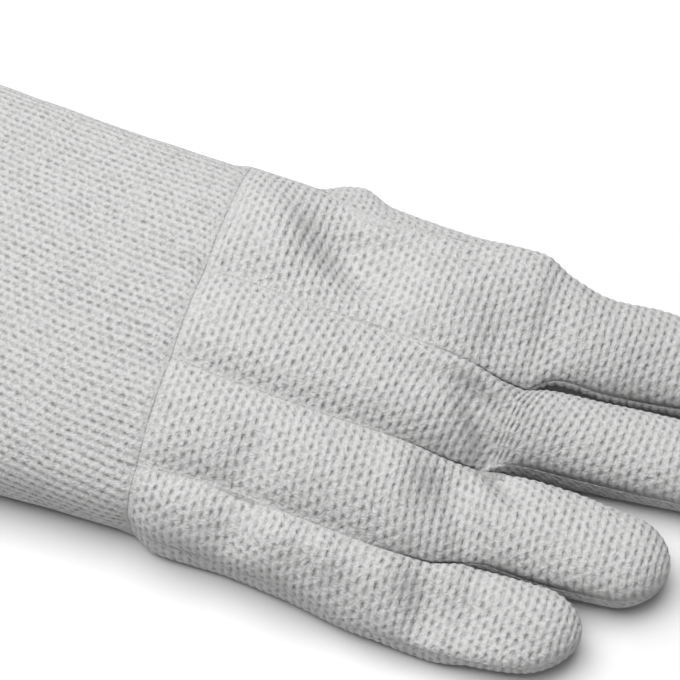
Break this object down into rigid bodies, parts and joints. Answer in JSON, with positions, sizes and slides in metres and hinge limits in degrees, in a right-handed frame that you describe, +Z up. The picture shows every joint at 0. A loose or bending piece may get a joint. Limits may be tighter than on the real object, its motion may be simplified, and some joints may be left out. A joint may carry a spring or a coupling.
{
  "type": "asbestos glove",
  "caption": "Right-hand heat-resistant work glove of thick, coarsely woven light grey cloth, with a wide gauntlet cuff, lying palm down.",
  "frame": {"origin": "middle of the glove's footprint, on the surface that it lies on", "axes": "+Y from the cuff to the fingertips, +X towards the little finger, +Z up out of the back of the hand"},
  "size_m": [0.1824, 0.353, 0.0571],
  "materials": {
    "hand_cloth": "matte, coarse open weave, light grey",
    "cuff_cloth": "matte, the same coarse weave turned a quarter turn"
  },
  "bodies": {
    "root": {"cuff": "cuff_cloth", "back_index": "hand_cloth", "back_middle": "hand_cloth", "back_ring": "hand_cloth", "back_little": "hand_cloth", "palm": "hand_cloth", "front_index": "hand_cloth", "front_middle": "hand_cloth", "front_ring": "hand_cloth", "front_little": "hand_cloth", "thumb": "hand_cloth"}
  },
  "joints": []
}
